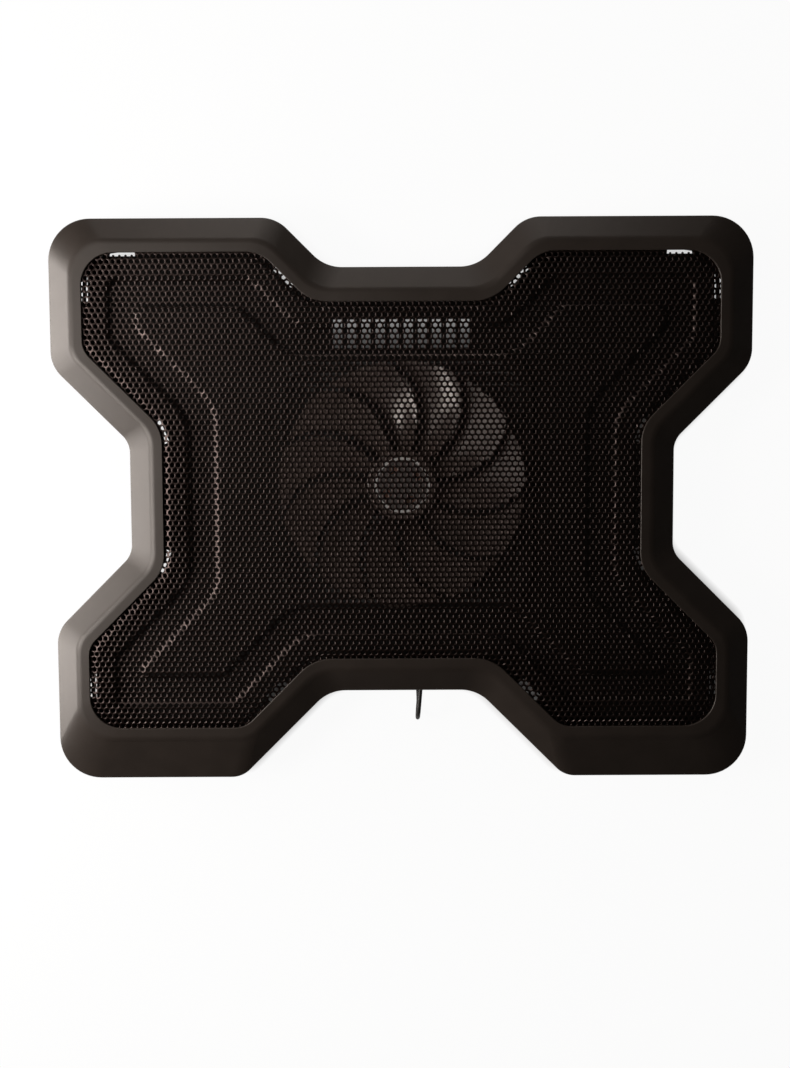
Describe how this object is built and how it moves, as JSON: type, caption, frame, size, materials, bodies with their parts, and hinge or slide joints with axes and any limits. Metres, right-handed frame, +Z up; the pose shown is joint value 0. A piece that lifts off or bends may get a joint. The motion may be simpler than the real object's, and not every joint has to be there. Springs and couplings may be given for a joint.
{
  "type": "laptop cooling pad",
  "caption": "X-shaped laptop cooling pad: plastic tray and sloped rim around a perforated steel deck, with a large fan beneath, flip-out rear legs and a short USB power cord.",
  "frame": {"origin": "on the surface the rubber feet stand on, at the middle of the pad's outline", "axes": "+X across the pad to the right, +Y to the rear (away from the cord), +Z up"},
  "size_m": [0.345, 0.278, 0.031],
  "materials": {
    "tray_plastic": "fine grained",
    "rim_plastic": "satin",
    "deck_steel": "satin powder coat",
    "grille_plastic": "fine grained",
    "fan_plastic": "semi gloss",
    "yoke_steel": "zinc plated",
    "pin_steel": "ground",
    "screw_steel": "blackened",
    "core_steel": "laminated",
    "magnet": "bonded ferrite",
    "copper": "enamelled copper",
    "bearing_brass": "sintered",
    "board": "solder mask",
    "bobbin_plastic": "natural",
    "label": "blank film",
    "clip_plastic": "natural",
    "foot_rubber": "matt",
    "cord_sheath": "satin sheath",
    "plug_plastic": "moulded",
    "plug_shell": "nickel plated",
    "plug_insert": "moulded",
    "tie": "flexible"
  },
  "bodies": {
    "pad": {"base_tray": "tray_plastic", "rim": "rim_plastic", "mesh_panel": "deck_steel", "intake_grille": "grille_plastic", "grille_screws": "screw_steel", "bearing_tube": "bearing_brass", "bearing_sleeve": "bearing_brass", "motor_board": "board", "stator_core": "core_steel", "stator_bobbin": "bobbin_plastic", "stator_coils": "copper", "foot_front_left": "foot_rubber", "foot_front_right": "foot_rubber", "foot_rear_left": "foot_rubber", "foot_rear_right": "foot_rubber", "leg_pin_left": "pin_steel", "leg_pin_right": "pin_steel", "cord_grommet": "cord_sheath", "fan_lead": "cord_sheath", "usb_cord": "cord_sheath", "usb_cord_coil": "cord_sheath", "cord_tie": "tie", "usb_cord_tail": "cord_sheath", "usb_plug_body": "plug_plastic", "usb_plug_shell": "plug_shell", "usb_plug_insert": "plug_insert"},
    "rotor": {"impeller": "fan_plastic", "rotor_yoke": "yoke_steel", "rotor_magnet": "magnet", "fan_shaft": "pin_steel", "shaft_clip": "clip_plastic", "hub_label": "label"},
    "left_leg": {"leg_left": "tray_plastic", "leg_tip_left": "foot_rubber"},
    "right_leg": {"leg_right": "tray_plastic", "leg_tip_right": "foot_rubber"}
  },
  "joints": [
    {"name": "fan_spin", "type": "hinge", "parent": "pad", "child": "rotor", "pos_m": [0, 0.008, 0.018], "axis": [0, 0, 1], "continuous": true},
    {"name": "left_leg_fold", "type": "hinge", "parent": "pad", "child": "left_leg", "pos_m": [-0.09, 0.112, 0.006], "axis": [1, 0, 0], "range_deg": [0, 100]},
    {"name": "right_leg_fold", "type": "hinge", "parent": "pad", "child": "right_leg", "pos_m": [0.09, 0.112, 0.006], "axis": [1, 0, 0], "range_deg": [0, 100]}
  ]
}
